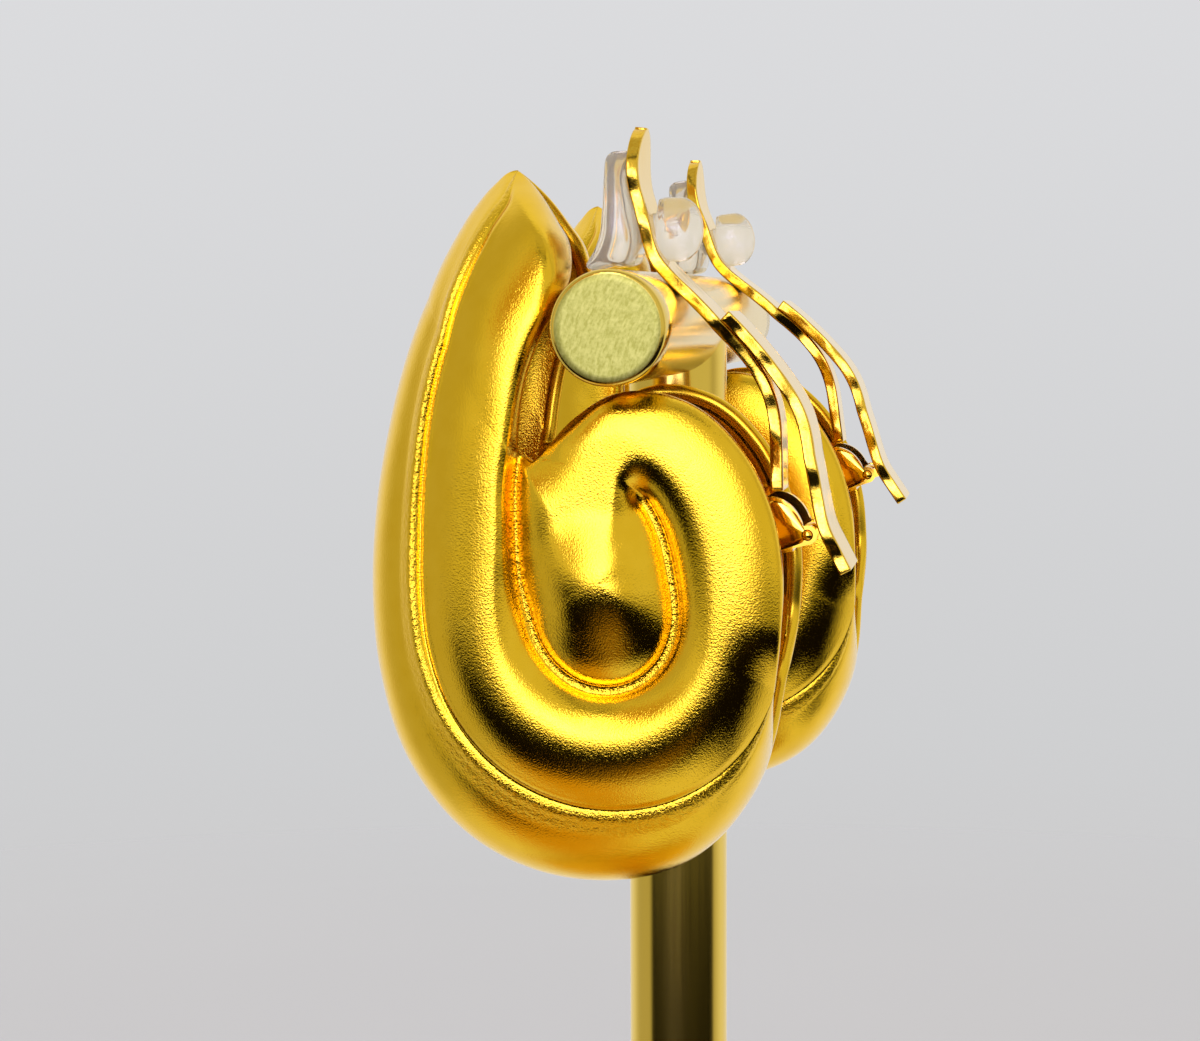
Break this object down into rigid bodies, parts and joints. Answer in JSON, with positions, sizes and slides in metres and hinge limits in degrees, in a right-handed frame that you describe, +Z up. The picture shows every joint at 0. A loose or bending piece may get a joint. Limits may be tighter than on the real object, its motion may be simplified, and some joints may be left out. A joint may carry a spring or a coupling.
{
  "type": "pair of clip-on earrings on a t-bar display stand",
  "caption": "Hollow swirl-shaped gold clip-on earrings with grooved scroll sides, hinged paddle clips and clear silicone pads, clamped on a round T-bar display stand",
  "frame": {"origin": "centre of the stand's underside, on the table", "axes": "+Z up; the bar runs along Y, with the front earring at -Y and the rear one at +Y; the worn fronts of the earrings face -X and their clips open toward +X"},
  "size_m": [0.06, 0.06, 0.0967],
  "materials": {
    "brushed_brass": "polished round brass, brushed on the bar's ends",
    "satin_gold": "gold-plated brass, satin with polished edges",
    "polished_gold": "gold-plated stamped sheet, polished",
    "clear_silicone": "clear soft silicone, slightly milky"
  },
  "bodies": {
    "stand_and_shells": {"stand_base": "brushed_brass", "stand_tee": "brushed_brass", "front_shell": "satin_gold", "back_shell": "satin_gold"},
    "front_clip_body": {"front_clip": "polished_gold", "front_pad": "clear_silicone"},
    "back_clip_body": {"back_clip": "polished_gold", "back_pad": "clear_silicone"}
  },
  "joints": [
    {"name": "front_clip_hinge", "type": "hinge", "parent": "stand_and_shells", "child": "front_clip_body", "pos_m": [0.00794, -0.0129, 0.0787], "axis": [0, 1, 0], "range_deg": [0, 80]},
    {"name": "back_clip_hinge", "type": "hinge", "parent": "stand_and_shells", "child": "back_clip_body", "pos_m": [0.00893, 0.0129, 0.07964], "axis": [0, 1, 0], "range_deg": [0, 80]}
  ]
}
